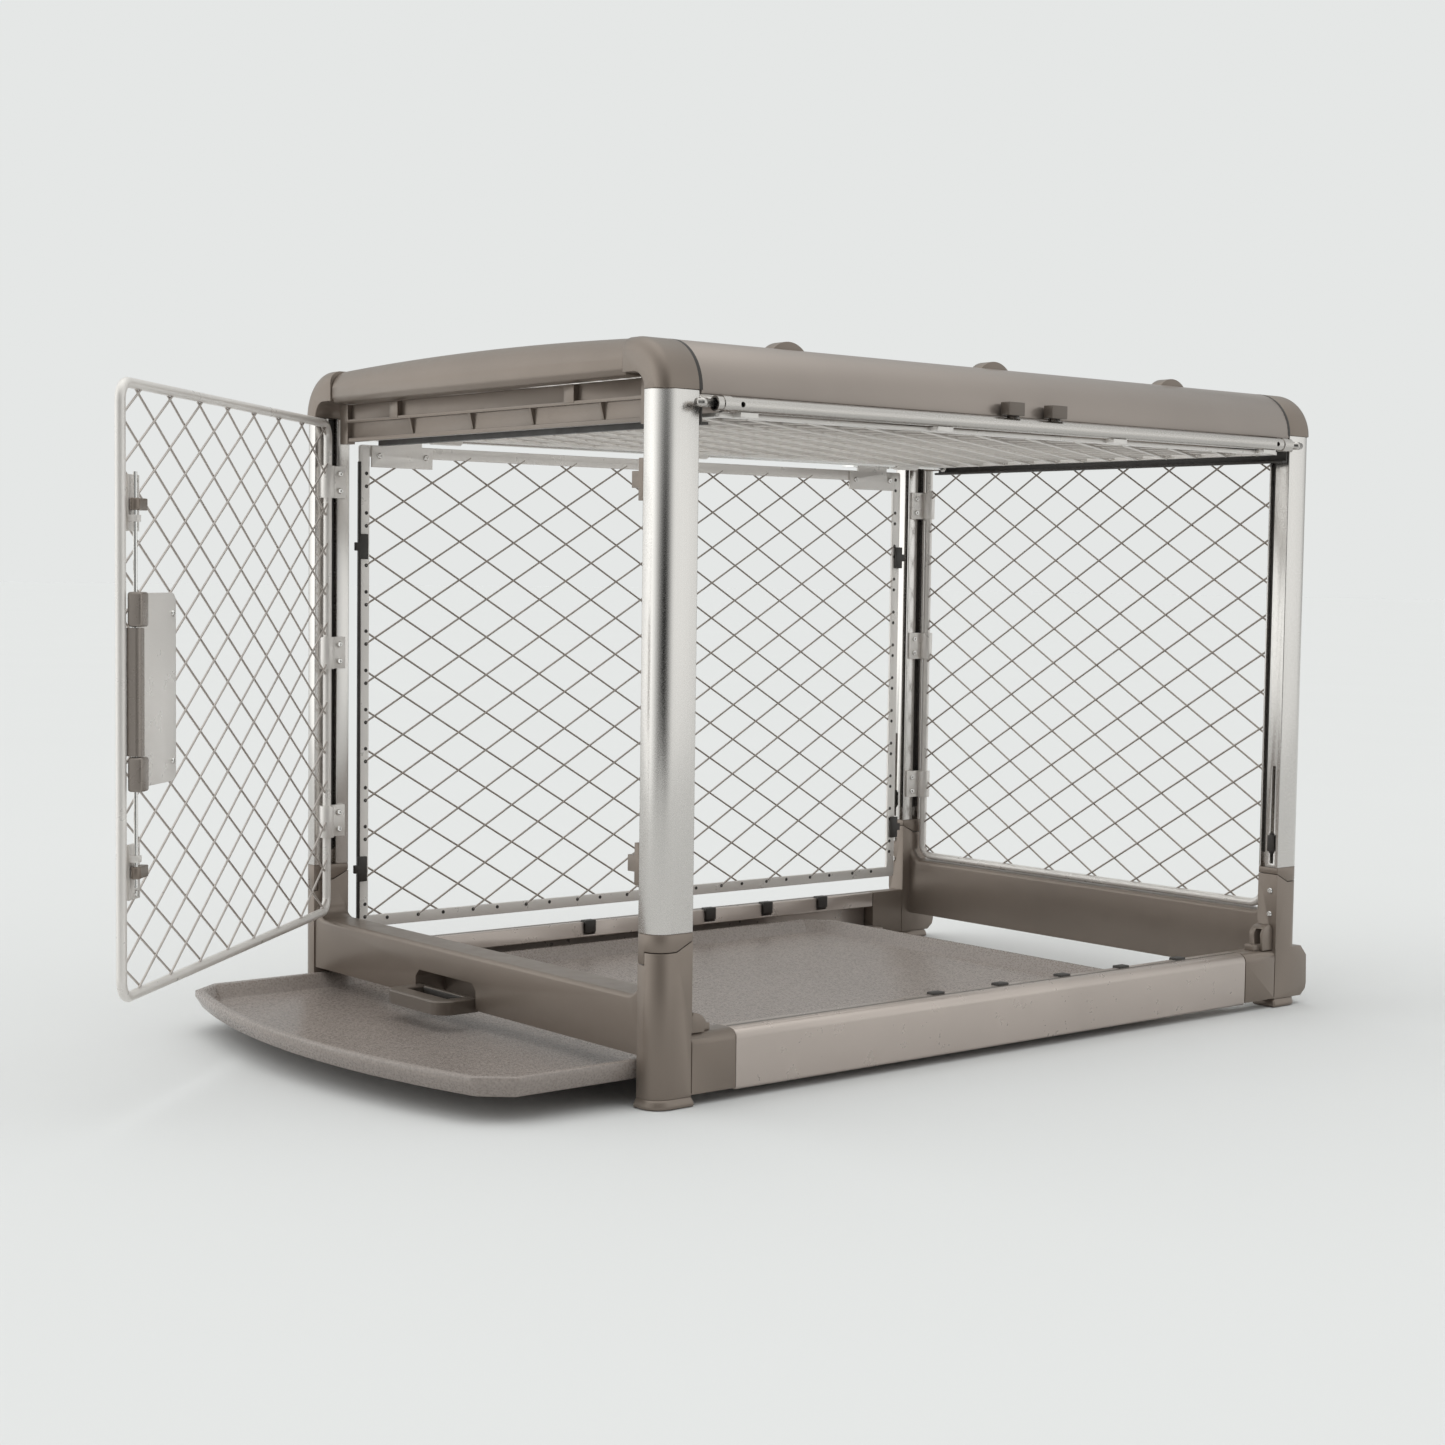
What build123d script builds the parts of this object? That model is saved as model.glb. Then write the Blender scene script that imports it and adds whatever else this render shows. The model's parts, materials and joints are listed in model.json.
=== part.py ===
from build123d import *
import math
import os

# ---------------------------------------------------------------------------
# Collapsible wire crate, millimetres.
# Origin: floor level, centre of the footprint.  +X right (long side door),
# -Y front (end door and tray), +Z up.
# ---------------------------------------------------------------------------
HX = 277.0            # half width
HY = 404.5            # half length
POST_U = 15.0         # width of the end face inside the tab of the cap
POST_FL = 23.0        # post width
POST_V = 37.0         # post depth along the length
POST_R = 15.0         # outer corner radius
Z_SEAM = 124.0        # seam between base upright and post cap
Z_CAP = 138.0         # top of post cap, bottom of aluminium
Z_POST = 561.0        # top of aluminium post
Z_TOP = 603.0         # roof crest
R_ROOF = 42.0         # quarter-round roof edge
BEAM_Z0, BEAM_Z1 = 41.0, 88.0
REAR_Z0, REAR_Z1 = 30.0, 92.0
RAIL_Z0, RAIL_Z1 = 7.0, 57.0
CORNER_V = 82.0       # length of the base corner blocks
TRAY_HW = 250.0
TRAY_Z0, TRAY_FLOOR, TRAY_Z1 = 20.0, 24.0, 36.5
TRAY_REAR = 235.0
TRAY_FRONT = -574.0
HANDLE_X = -26.0      # centre of the pull handle
HANDLE_W = 94.0
DOOR_AX, DOOR_AY = -247.0, -395.0
REAR_AY = 392.0
DOOR_W = 481.0        # hinge wire to free wire, centre to centre
REAR_W = 488.0        # the same on the rear panel
DOOR_Z0, DOOR_Z1 = 95.0, 555.0
DOOR_REST = -48.0     # degrees, open position
WIRE_R = 4.0          # frame wire radius
MESH_W, MESH_H = 64.0, 38.0   # diamond width and height
MESH_T = 3.0          # mesh thickness
STRAND = 3.0          # mesh wire width
CLAMP_Z = (180.0, 340.0, 501.0)
FOOT_Z = 8.0
LATCH_U, LATCH_W = 474.0, -8.5    # lock rod axis on the door
ROD_R = 1.6           # lock rod radius
WALL_X = -258.0
WALL_Y0, WALL_Y1 = -355.0, 355.0
WALL_Z0, WALL_Z1 = 74.0, 538.0
WALL_AX, WALL_AZ = -257.0, 546.0   # hinge axis of the long wall
SIDE_PX, SIDE_PZ = -191.5, 543.0   # pivot rod of the side door, stowed
SIDE_HY = 350.0
BAR_X, BAR_Z, BAR_R = 283.5, 551.0, 6.0
HATCH_AX, HATCH_AZ = 211.0, 600.2
CROWN = 4.5           # rise of the roof beams at mid width
CLIP_Y = (-80.0, 0.0, 81.0, 162.0, 243.0)
KNOB_Y = (-241.0, 0.0, 241.0)

os.makedirs("parts", exist_ok=True)


def save(builder, name):
    builder.part.label = name
    export_step(builder.part, "parts/" + name + ".step")


def block(x0, x1, y0, y1, z0, z1, mode=Mode.ADD):
    # box between two corners, in the plane of the current part
    with Locations(((x0 + x1) / 2, (y0 + y1) / 2, (z0 + z1) / 2)):
        return Box(abs(x1 - x0), abs(y1 - y0), abs(z1 - z0), mode=mode)


def rod_x(x0, x1, y, z, r, mode=Mode.ADD):
    with Locations(((x0 + x1) / 2, y, z)):
        return Cylinder(r, abs(x1 - x0), rotation=(0, 90, 0), mode=mode)


def rod_y(y0, y1, x, z, r, mode=Mode.ADD):
    with Locations((x, (y0 + y1) / 2, z)):
        return Cylinder(r, abs(y1 - y0), rotation=(90, 0, 0), mode=mode)


def rod_z(z0, z1, x, y, r, mode=Mode.ADD):
    with Locations((x, y, (z0 + z1) / 2)):
        return Cylinder(r, abs(z1 - z0), mode=mode)


def post_outline(sx, sy, grow=0.0, grooves=False):
    # corner section with one rounded outer corner; the extrusion has two long grooves
    g = grow

    def m(u, v):
        return (sx * (HX - u), sy * (HY - v))

    r = POST_R + g
    k = r * (1 - math.cos(math.radians(45)))
    w = POST_FL + g
    d = POST_V + g
    if grooves:
        mid = [(w, 14.5), (w - 6, 14.5), (w - 6, 23.5), (w, 23.5), (w, d), (21, d), (21, d - 5), (16, d - 5), (16, d)]
    else:
        mid = [(w, d)]
    with BuildLine() as ln:
        Polyline(m(POST_R, -g), m(w, -g), *[m(u, v) for u, v in mid], m(-g, d), m(-g, POST_R))
        ThreePointArc(m(-g, POST_R), m(-g + k, -g + k), m(POST_R, -g))
    make_face(ln.edges())


def seam_cut(sx, sy, drop):
    # space above the notched seam: level across the front, rising towards the inside
    with BuildPart() as cut:
        with BuildSketch(Plane.YZ.offset(sx * (HX - POST_FL / 2) - 20)):
            with BuildLine():
                Polyline((sy * (HY + 6), Z_SEAM - drop), (sy * (HY - 21), Z_SEAM - drop),
                         (sy * (HY - 38), Z_SEAM + 8.5 - drop), (sy * (HY - 44), Z_SEAM + 8.5 - drop),
                         (sy * (HY - 44), 160), (sy * (HY + 6), 160), close=True)
            make_face()
        extrude(amount=40)
    return cut.part


# ----------------------------- posts and caps ------------------------------
def make_post(sx, sy, name, slot):
    with BuildPart() as post:
        with BuildSketch(Plane.XY.offset(Z_CAP)):
            post_outline(sx, sy, 0.0, True)
        extrude(amount=Z_POST - Z_CAP)
        if slot:
            block(sx * (HX - 6.0), sx * (HX - 10.0), sy * (HY - 25), sy * (HY - POST_V - 1),
                  142, 238, mode=Mode.SUBTRACT)
    save(post, name)


make_post(-1, -1, "post_front_left", False)
make_post(1, -1, "post_front_right", False)
make_post(-1, 1, "post_rear_left", True)
make_post(1, 1, "post_rear_right", True)

def make_cap(sx, sy):
    above = seam_cut(sx, sy, 0.0)
    with BuildPart() as cap:
        with BuildSketch(Plane.XY.offset(Z_SEAM - 2)):
            post_outline(sx, sy)
        extrude(amount=Z_CAP - Z_SEAM + 2)
        add(above, mode=Mode.INTERSECT)
        block(sx * (HX - POST_U), sx * (HX - POST_FL), sy * HY, sy * (HY - 4), Z_SEAM - 10, Z_SEAM + 2)
    return cap.part


caps = [make_cap(sx, sy) for sx in (-1, 1) for sy in (-1, 1)]
with BuildPart() as post_caps:
    for cap in caps:
        add(cap)
save(post_caps, "post_caps")

# lock sliders in the slots of the two rear posts
for sx, name in ((-1, "post_lock_left"), (1, "post_lock_right")):
    with BuildPart() as lock:
        block(sx * (HX - 6.35), sx * (HX - 9.65), HY - 25.5, HY - POST_V - 2.0, 152, 172)
        block(sx * (HX - 4.6), sx * (HX - 11.4), HY - POST_V - 0.35, HY - POST_V - 3.0, 154, 170)
    save(lock, name)

# ------------------------------- base ends ---------------------------------
with BuildPart() as corner_feet:
    for sx in (-1, 1):
        for sy in (-1, 1):
            with BuildSketch(Plane.XY):
                post_outline(sx, sy, 2.0)
            extrude(amount=3.0)
            with BuildSketch(Plane.XY.offset(3.0)):
                post_outline(sx, sy, 2.0)
            with BuildSketch(Plane.XY.offset(FOOT_Z)):
                post_outline(sx, sy, 0.4)
            loft()
save(corner_feet, "corner_feet")


def make_upright(sx, sy):
    above = seam_cut(sx, sy, 0.7)
    with BuildPart() as up:
        with BuildSketch(Plane.XY.offset(FOOT_Z)):
            post_outline(sx, sy)
        extrude(amount=Z_SEAM + 9 - FOOT_Z)
        add(above, mode=Mode.SUBTRACT)
        block(sx * (HX - POST_U + 0.7), sx * (HX - POST_FL - 1), sy * (HY + 1), sy * (HY - 4.6),
              Z_SEAM - 10.7, Z_SEAM + 3, mode=Mode.SUBTRACT)
        # block that carries the long rail
        with BuildSketch(Plane.XZ.offset(-sy * (HY - 31))):
            with BuildLine():
                Polyline((sx * (HX - 22), RAIL_Z0 + 2), (sx * HX, RAIL_Z0 + 2), (sx * HX, RAIL_Z1 - 9))
                ThreePointArc((sx * HX, RAIL_Z1 - 9), (sx * (HX - 2.64), RAIL_Z1 - 2.64), (sx * (HX - 9), RAIL_Z1))
                Polyline((sx * (HX - 9), RAIL_Z1), (sx * (HX - 22), RAIL_Z1), (sx * (HX - 22), RAIL_Z0 + 2))
            make_face()
        extrude(amount=sy * (CORNER_V - 31))
        # crease down the outer side
        block(sx * (HX - 0.9), sx * (HX + 2), sy * (HY - POST_V - 0.7), sy * (HY - POST_V + 0.5), FOOT_Z + 2, RAIL_Z1 + 1,
              mode=Mode.SUBTRACT)
    return up.part


def beam_profile(z0, z1):
    with BuildLine() as ln:
        Polyline((-255, z1 + 18), (-255, z0), (255, z0), (255, z1 + 18))
        ThreePointArc((255, z1 + 18), (249.73, z1 + 5.27), (237, z1))
        Line((237, z1), (-237, z1))
        ThreePointArc((-237, z1), (-249.73, z1 + 5.27), (-255, z1 + 18))
    make_face(ln.edges())


with BuildPart() as beam_f:
    with BuildSketch(Plane.XZ.offset(HY - 1.5)):
        beam_profile(BEAM_Z0, BEAM_Z1)
    extrude(amount=-(34.0))
    fillet(beam_f.edges().filter_by(Axis.X).group_by(Axis.Z)[-1], 4.0)

uprights = [make_upright(-1, -1), make_upright(1, -1)]
with BuildPart() as base_front_end:
    add(uprights[0])
    add(uprights[1])
    add(beam_f.part)
    # recess of the pull handle, chamfered at its upper corners
    with BuildSketch(Plane.XZ.offset(HY + 2)):
        with Locations((HANDLE_X, (BEAM_Z0 - 10 + 64.0) / 2)):
            r = Rectangle(HANDLE_W + 3, 64.0 - (BEAM_Z0 - 10))
        chamfer(r.vertices().group_by(Axis.Y)[-1], 6)
    extrude(amount=-(34.5), mode=Mode.SUBTRACT)
save(base_front_end, "base_front_end")

with BuildPart() as beam_r:
    with BuildSketch(Plane.XZ.offset(-(HY - 26))):
        beam_profile(REAR_Z0, REAR_Z1)
    extrude(amount=-24.0)
    fillet(beam_r.edges().filter_by(Axis.X).group_by(Axis.Z)[-1], 4.0)

uprights = [make_upright(-1, 1), make_upright(1, 1)]
with BuildPart() as base_rear_end:
    add(uprights[0])
    add(uprights[1])
    add(beam_r.part)
    # the rounded inner corners stay in front of the swing of the rear panel
    for sx in (-1, 1):
        block(sx * 236.0, sx * 253.9, 387.2, 403.0, REAR_Z1, REAR_Z1 + 20, mode=Mode.SUBTRACT)
    # rounded heel of each rear foot
    for sx in (-1, 1):
        with BuildSketch(Plane.YZ.offset(sx * HX - (POST_FL if sx > 0 else 0))):
            with BuildLine():
                Polyline((HY - 16, FOOT_Z), (HY + 5, FOOT_Z), (HY + 12, 14), (HY + 13.5, 20), (HY + 12.5, 48),
                         (HY + 3.5, 58), (HY - 16, 58), close=True)
            make_face()
        extrude(amount=POST_FL)
save(base_rear_end, "base_rear_end")

# ------------------------------- base rails --------------------------------
for sx, name in ((-1, "base_rail_left"), (1, "base_rail_right")):
    with BuildPart() as rail:
        yl = HY - CORNER_V - 0.8
        with BuildSketch(Plane.XZ.offset(yl)):
            with BuildLine():
                Polyline((sx * (HX - 22), RAIL_Z0), (sx * (HX - 2), RAIL_Z0), (sx * HX, RAIL_Z0 + 2), (sx * HX, RAIL_Z1 - 9))
                ThreePointArc((sx * HX, RAIL_Z1 - 9), (sx * (HX - 2.64), RAIL_Z1 - 2.64), (sx * (HX - 9), RAIL_Z1))
                Polyline((sx * (HX - 9), RAIL_Z1), (sx * (HX - 22), RAIL_Z1), (sx * (HX - 22), 41), (sx * (HX - 8), 41),
                         (sx * (HX - 8), 16), (sx * (HX - 22), 16), (sx * (HX - 22), RAIL_Z0))
            make_face()
        extrude(amount=-2 * yl)
        # runner under the tray
        block(sx * (HX - 40), sx * (HX - 20), -yl, yl, 13.5, 19.5)
        for cy in CLIP_Y:
            block(sx * (HX - 15), sx * (HX - 23), cy - 7.2, cy + 7.2, 43.5, RAIL_Z1 + 2, mode=Mode.SUBTRACT)
    save(rail, name)

for sx, name in ((-1, "rail_clips_left"), (1, "rail_clips_right")):
    with BuildPart() as clips:
        for cy in CLIP_Y:
            xi = HX - 22
            block(sx * (xi - 2.6), sx * (xi + 6.6), cy - 6.8, cy + 6.8, RAIL_Z1 - 2.5, RAIL_Z1 + 1.8)
            block(sx * (xi - 2.6), sx * (xi - 0.2), cy - 6.8, cy + 6.8, 46, RAIL_Z1 - 1)
            block(sx * (xi + 4.0), sx * (xi + 6.6), cy - 6.8, cy + 6.8, 44.5, RAIL_Z1 - 1)
    save(clips, name)

with BuildPart() as side_door_catches:
    for sy, top in ((-1, 16.0), (1, 25.0)):
        yc = HY - 44.5
        with BuildSketch(Plane.YZ.offset(HX - 19)):
            with BuildLine():
                Polyline((sy * (yc - 8), RAIL_Z1), (sy * (yc + 7), RAIL_Z1), (sy * (yc + 7), RAIL_Z1 + top - 5), (sy * (yc + 3), RAIL_Z1 + top))
                ThreePointArc((sy * (yc + 3), RAIL_Z1 + top), (sy * (yc - 6), RAIL_Z1 + top - 3), (sy * (yc - 10), RAIL_Z1 + top - 9))
                Polyline((sy * (yc - 10), RAIL_Z1 + top - 9), (sy * (yc - 8), RAIL_Z1))
            make_face()
        extrude(amount=15.5)
        # keeper slot for the locking pin and the small foot beside it
        block(HX - 13, HX - 6, sy * (yc - 12), sy * (yc + 4), RAIL_Z1 + 6, RAIL_Z1 + top - 4, mode=Mode.SUBTRACT)
        block(HX - 19, HX - 8, sy * (yc - 17), sy * (yc - 7), RAIL_Z1, RAIL_Z1 + 6)
save(side_door_catches, "side_door_catches")

with BuildPart() as base_screws:
    for sx in (-1, 1):
        for sy in (-1, 1):
            for z in (92, 115):
                rod_y(sy * (HY - POST_V), sy * (HY - POST_V - 1.6), sx * (HX - 8), z, 2.8)
save(base_screws, "base_screws")

# ------------------------------- pull handle -------------------------------
with BuildPart() as pull_handle:
    with BuildSketch(Plane.XY.offset(39.0)):
        hw = HANDLE_W / 2 - 0.6
        with Locations((HANDLE_X, -418.5)):
            hr = Rectangle(2 * hw, 39.0)
        fillet(hr.vertices().group_by(Axis.Y)[0], 15)
        with Locations((HANDLE_X, -413.0)):
            hs = Rectangle(2 * hw - 28, 17.0, mode=Mode.SUBTRACT)
    extrude(amount=12.0)
    fillet(pull_handle.edges().group_by(Axis.Z)[-1], 1.6)
save(pull_handle, "pull_handle")

# ---------------------------------- tray -----------------------------------
def tray_outline(g):
    w = TRAY_HW - g
    with BuildLine() as ln:
        Polyline((w, -512), (w, TRAY_REAR - 26 - g * 0.4), (w - 26 + g * 0.6, TRAY_REAR - g),
                 (-w + 26 - g * 0.6, TRAY_REAR - g), (-w, TRAY_REAR - 26 - g * 0.4), (-w, -512))
        Line((-w, -512), (-w + 22 - g * 0.3, -541 + g))
        ThreePointArc((-w + 22 - g * 0.3, -541 + g), (0, TRAY_FRONT + g), (w - 22 + g * 0.3, -541 + g))
        Line((w - 22 + g * 0.3, -541 + g), (w, -512))
    make_face(ln.edges())


with BuildPart() as tray:
    with BuildSketch(Plane.XY.offset(TRAY_Z0)):
        tray_outline(6)
    with BuildSketch(Plane.XY.offset(TRAY_Z1 - 6)):
        tray_outline(0.0)
    loft()
    with BuildSketch(Plane.XY.offset(TRAY_Z1 - 6)):
        tray_outline(0.0)
    extrude(amount=6)
    with BuildSketch(Plane.XY.offset(TRAY_FLOOR)):
        tray_outline(17)
    with BuildSketch(Plane.XY.offset(TRAY_Z1 + 0.01)):
        tray_outline(6.5)
    loft(mode=Mode.SUBTRACT)
save(tray, "tray")

# ---------------------------------- roof -----------------------------------
def make_elbow(sx, sy, name):
    with BuildPart() as elbow:
        with BuildSketch(Plane.XZ.offset(-sy * HY)):
            with BuildLine():
                Line((sx * HX, Z_POST), (sx * HX, Z_POST + 0.5))
                c = 1 - math.cos(math.radians(45))
                ThreePointArc((sx * HX, Z_POST + 0.5), (sx * (HX - R_ROOF * c), Z_TOP - R_ROOF * c + 0.15), (sx * (HX - R_ROOF), Z_TOP))
                Polyline((sx * (HX - R_ROOF), Z_TOP), (sx * (HX - 51), Z_TOP), (sx * (HX - 51), 575), (sx * (HX - 38), 575))
                ThreePointArc((sx * (HX - 38), 575), (sx * (HX - 27.4), 571.2), (sx * (HX - POST_FL), Z_POST))
                Line((sx * (HX - POST_FL), Z_POST), (sx * HX, Z_POST))
            make_face()
        extrude(amount=sy * POST_V)
        outer = elbow.edges().filter_by_position(Axis.Y, sy * HY - 0.01, sy * HY + 0.01)
        arc = outer.filter_by(GeomType.CIRCLE).sort_by(SortBy.LENGTH)[-1]
        fillet(arc, 11.0)
    save(elbow, name)


make_elbow(-1, -1, "elbow_front_left")
make_elbow(1, -1, "elbow_front_right")
make_elbow(-1, 1, "elbow_rear_left")
make_elbow(1, 1, "elbow_rear_right")

def beam_section(sy, c):
    with BuildLine() as ln:
        Polyline((sy * (HY - 4), 573), (sy * (HY - 1), 578), (sy * (HY - 1), 585 + c))
        ThreePointArc((sy * (HY - 1), 585 + c), (sy * (HY - 6.27), 597.73 + c), (sy * (HY - 19), Z_TOP + c))
        Polyline((sy * (HY - 19), Z_TOP + c), (sy * (HY - 37), Z_TOP + c), (sy * (HY - 37), 597), (sy * (HY - 22), 597),
                 (sy * (HY - 22), 573), (sy * (HY - 4), 573))
    make_face(ln.edges())


for sy, name in ((-1, "roof_beam_front"), (1, "roof_beam_rear")):
    with BuildPart() as beam:
        # crowned between the two elbows
        for x in (-225.6, -112.8, 0.0, 112.8, 225.6):
            with BuildSketch(Plane.YZ.offset(x)):
                beam_section(sy, CROWN * (1 - (x / 225.6) ** 2))
        loft()
        block(-205, 205, sy * (HY - 36), sy * (HY - 54), 597, Z_TOP)
    save(beam, name)

for sy, name in ((-1, "roof_inner_front"), (1, "roof_inner_rear")):
    with BuildPart() as inner:
        zl = 4.5 if sy > 0 else 0.0      # the rear panel ends a little higher
        block(-239, 239, sy * 381, sy * 378, 541 + zl, 572.6)
        block(-239, 239, sy * 386, sy * 378, 555.5, 558.5)
        block(-239, 239, sy * 385, sy * 378, 538 + zl, 541.5 + zl)
        # tapered gussets
        for x in (-118, -20, 72, 171):
            with BuildSketch(Plane.YZ.offset(x - 1.5)):
                with BuildLine():
                    Polyline((sy * 380, 556), (sy * 386, 556), (sy * 382, 541 + zl), (sy * 380, 541 + zl), close=True)
                make_face()
            extrude(amount=3)
        for x in (-144, 129):
            block(x - 7, x + 7, sy * 386.5, sy * 380, 557, 571.5)
        for x in (-233, 233):
            block(x - 7, x + 7, sy * 386, sy * 378, 536 + zl, 572.6)
    save(inner, name)

for sx, name in ((-1, "roof_rail_left"), (1, "roof_rail_right")):
    with BuildPart() as rail:
        yl = HY - POST_V - 1.4
        c = math.cos(math.radians(45))
        xc, zc = HX - R_ROOF, Z_POST
        with BuildSketch(Plane.XZ.offset(yl)):
            with BuildLine():
                Line((sx * HX, 558), (sx * HX, zc))
                ThreePointArc((sx * HX, zc), (sx * (xc + R_ROOF * c), zc + R_ROOF * c), (sx * xc, Z_TOP))
                Polyline((sx * xc, Z_TOP), (sx * 206, Z_TOP), (sx * 206, Z_TOP - 5), (sx * xc, Z_TOP - 5))
                ThreePointArc((sx * xc, Z_TOP - 5), (sx * (xc + 37 * c), zc + 37 * c), (sx * (HX - 5), zc))
                Polyline((sx * (HX - 5), zc), (sx * (HX - 5), 558), (sx * HX, 558))
            make_face()
        extrude(amount=-2 * yl)
        if sx > 0:
            # pockets of the hatch hinges
            for y in KNOB_Y:
                block(204, 217.5, y - 30, y + 30, Z_TOP - 8, Z_TOP + 2, mode=Mode.SUBTRACT)
    save(rail, name)

# ---------------------------- wire mesh panels -----------------------------
def clip_to(pts, axis, limit, sign):
    # part of a convex polygon on one side of a straight edge
    out = []
    for i in range(len(pts)):
        p, q = pts[i - 1], pts[i]
        dp, dq = sign * (limit - p[axis]), sign * (limit - q[axis])
        if (dp >= 0) != (dq >= 0):
            t = dp / (dp - dq)
            out.append((p[0] + t * (q[0] - p[0]), p[1] + t * (q[1] - p[1])))
        if dq >= 0:
            out.append(q)
    return out


def lattice_face(w, h, pw, ph, rim):
    # flat field of crossing strands with diamond openings and a narrow rim
    a, b = pw / 2, ph / 2
    k = STRAND / 2 * math.hypot(a, b)
    ra, rb = a - k / b, b - k / a
    hw, hh = w / 2 - rim, h / 2 - rim
    nx, ny = int(w / pw) + 2, int(h / ph) + 2
    holes = []
    for i in range(-nx, nx + 1):
        for j in range(-ny, ny + 1):
            for ox, oy in ((0.0, 0.0), (a, b)):
                cx, cy = i * pw + ox, j * ph + oy
                pts = [(cx + ra, cy), (cx, cy + rb), (cx - ra, cy), (cx, cy - rb)]
                for axis, limit, sign in ((0, hw, 1), (0, -hw, -1), (1, hh, 1), (1, -hh, -1)):
                    if pts:
                        pts = clip_to(pts, axis, limit, sign)
                if len(pts) < 3:
                    continue
                area = abs(sum(pts[n - 1][0] * pts[n][1] - pts[n][0] * pts[n - 1][1] for n in range(len(pts)))) / 2
                if area > 25.0:
                    holes.append(Wire.make_polygon([(x, y, 0) for x, y in pts], close=True))
    outer = Wire.make_polygon([(-w / 2, -h / 2, 0), (w / 2, -h / 2, 0), (w / 2, h / 2, 0), (-w / 2, h / 2, 0)], close=True)
    return Face(outer, holes)


def make_mesh(plane, u0, u1, v0, v1, pw, ph, name, rim=3.0):
    field = lattice_face(u1 - u0, v1 - v0, pw, ph, rim)
    with BuildPart() as mesh:
        with BuildSketch(plane):
            with Locations(((u0 + u1) / 2, (v0 + v1) / 2)):
                add(field)
        extrude(amount=MESH_T / 2, both=True)
    save(mesh, name)


def wire_frame(plane, w, z0, z1, name):
    # closed round-wire rectangle, rounded corners
    with BuildPart() as frame:
        with BuildLine(plane) as path:
            c, k = 14.0, 14.0 * (1 - math.cos(math.radians(45)))
            Line((w / 2, z0), (w - c, z0))
            ThreePointArc((w - c, z0), (w - k, z0 + k), (w, z0 + c))
            Line((w, z0 + c), (w, z1 - c))
            ThreePointArc((w, z1 - c), (w - k, z1 - k), (w - c, z1))
            Line((w - c, z1), (c, z1))
            ThreePointArc((c, z1), (k, z1 - k), (0, z1 - c))
            Line((0, z1 - c), (0, z0 + c))
            ThreePointArc((0, z0 + c), (k, z0 + k), (c, z0))
            Line((c, z0), (w / 2, z0))
        with BuildSketch(Plane(origin=path.line @ 0, z_dir=path.line % 0)):
            Circle(WIRE_R)
        sweep()
    save(frame, name)


# front door, shown swung open
a = math.radians(DOOR_REST)
door_plane = Plane(origin=(DOOR_AX, DOOR_AY, 0), x_dir=(math.cos(a), math.sin(a), 0), z_dir=(math.sin(a), -math.cos(a), 0))
wire_frame(door_plane, DOOR_W, DOOR_Z0, DOOR_Z1, "front_door_frame")
make_mesh(door_plane, 9.0, DOOR_W - 7.0, DOOR_Z0 + 7.0, DOOR_Z1 - 7.0, MESH_W, MESH_H, "front_door_mesh")

with BuildPart(door_plane) as door_latch_plate:
    with BuildSketch(door_plane.offset(-1.9)):
        with Locations((425.0, 325.5)):
            RectangleRounded(82, 147, 8)
    extrude(amount=-2.4)
    for u, v in ((457, 288), (457, 363), (392, 268), (392, 383)):
        with Locations((u, v, -4.9)):
            Cylinder(2.3, 1.4)
    # end sockets that carry the grip
    for v in (264.0, 387.0):
        block(461, 472.4, v - 13, v + 13, -3.0, -16.0)
        block(470, LATCH_U + 6.4, v - 13, v + 13, -4.4, -16.0)
        with Locations((LATCH_U, v, LATCH_W)):
            Cylinder(ROD_R + 0.08, 40, rotation=(90, 0, 0), mode=Mode.SUBTRACT)
save(door_latch_plate, "door_latch_plate")

with BuildPart(door_plane) as door_latch_grip:
    with Locations((LATCH_U, 325.5, LATCH_W)):
        Box(11.8, 95.6, 11.8)
    fillet(door_latch_grip.edges().filter_by(Axis.Z), 3.8)
    with Locations((LATCH_U, 325.5, LATCH_W)):
        Cylinder(ROD_R, 110, rotation=(90, 0, 0), mode=Mode.SUBTRACT)
save(door_latch_grip, "door_latch_grip")

with BuildPart(door_plane) as door_lock_rod:
    with Locations((LATCH_U, 334, LATCH_W)):
        Cylinder(ROD_R, 310, rotation=(90, 0, 0))
save(door_lock_rod, "door_lock_rod")

CAM_V = (465, 190)
with BuildPart(door_plane) as door_lock_cams:
    for v in CAM_V:
        with Locations((LATCH_U, v, LATCH_W)):
            Cylinder(4.0, 9, rotation=(90, 0, 0))
        block(LATCH_U - 16, LATCH_U, v - 4.5, v + 4.5, LATCH_W + 3.4, LATCH_W - 3.4)
        with Locations((LATCH_U, v, LATCH_W)):
            Cylinder(ROD_R, 20, rotation=(90, 0, 0), mode=Mode.SUBTRACT)
save(door_lock_cams, "door_lock_cams")

with BuildPart(door_plane) as door_rod_guides:
    for v, b in ((466, 454.5), (190, 200.5)):
        block(DOOR_W - 25, DOOR_W - 5, v - 21, v + 21, -1.9, -4.2)
        block(LATCH_U - 3.4, LATCH_U + 3.4, b - 2.5, b + 2.5, -4.1, LATCH_W - 3.2)
        with Locations((LATCH_U, b, LATCH_W)):
            Cylinder(ROD_R + 0.08, 20, rotation=(90, 0, 0), mode=Mode.SUBTRACT)
        for dv in (-16.5, 16.5):
            with Locations((464, v + dv, -4.7)):
                Cylinder(2.4, 1.4)
save(door_rod_guides, "door_rod_guides")

with BuildPart() as door_strikes:
    xp = HX - POST_FL
    for v, k0, k1 in ((491.5, 455, 507), (192, 176, 208)):
        block(xp - 6.0, xp, -404.2, -393, v - 16.5, v + 16.5)
        block(239.4, xp - 5.0, -404.2, -400.2, v - 6.5, v + 6.5)
        # keeper flange behind the closed door
        block(240.6, xp, -394.2, -388.2, k0, k1)
save(door_strikes, "door_strikes")

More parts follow.
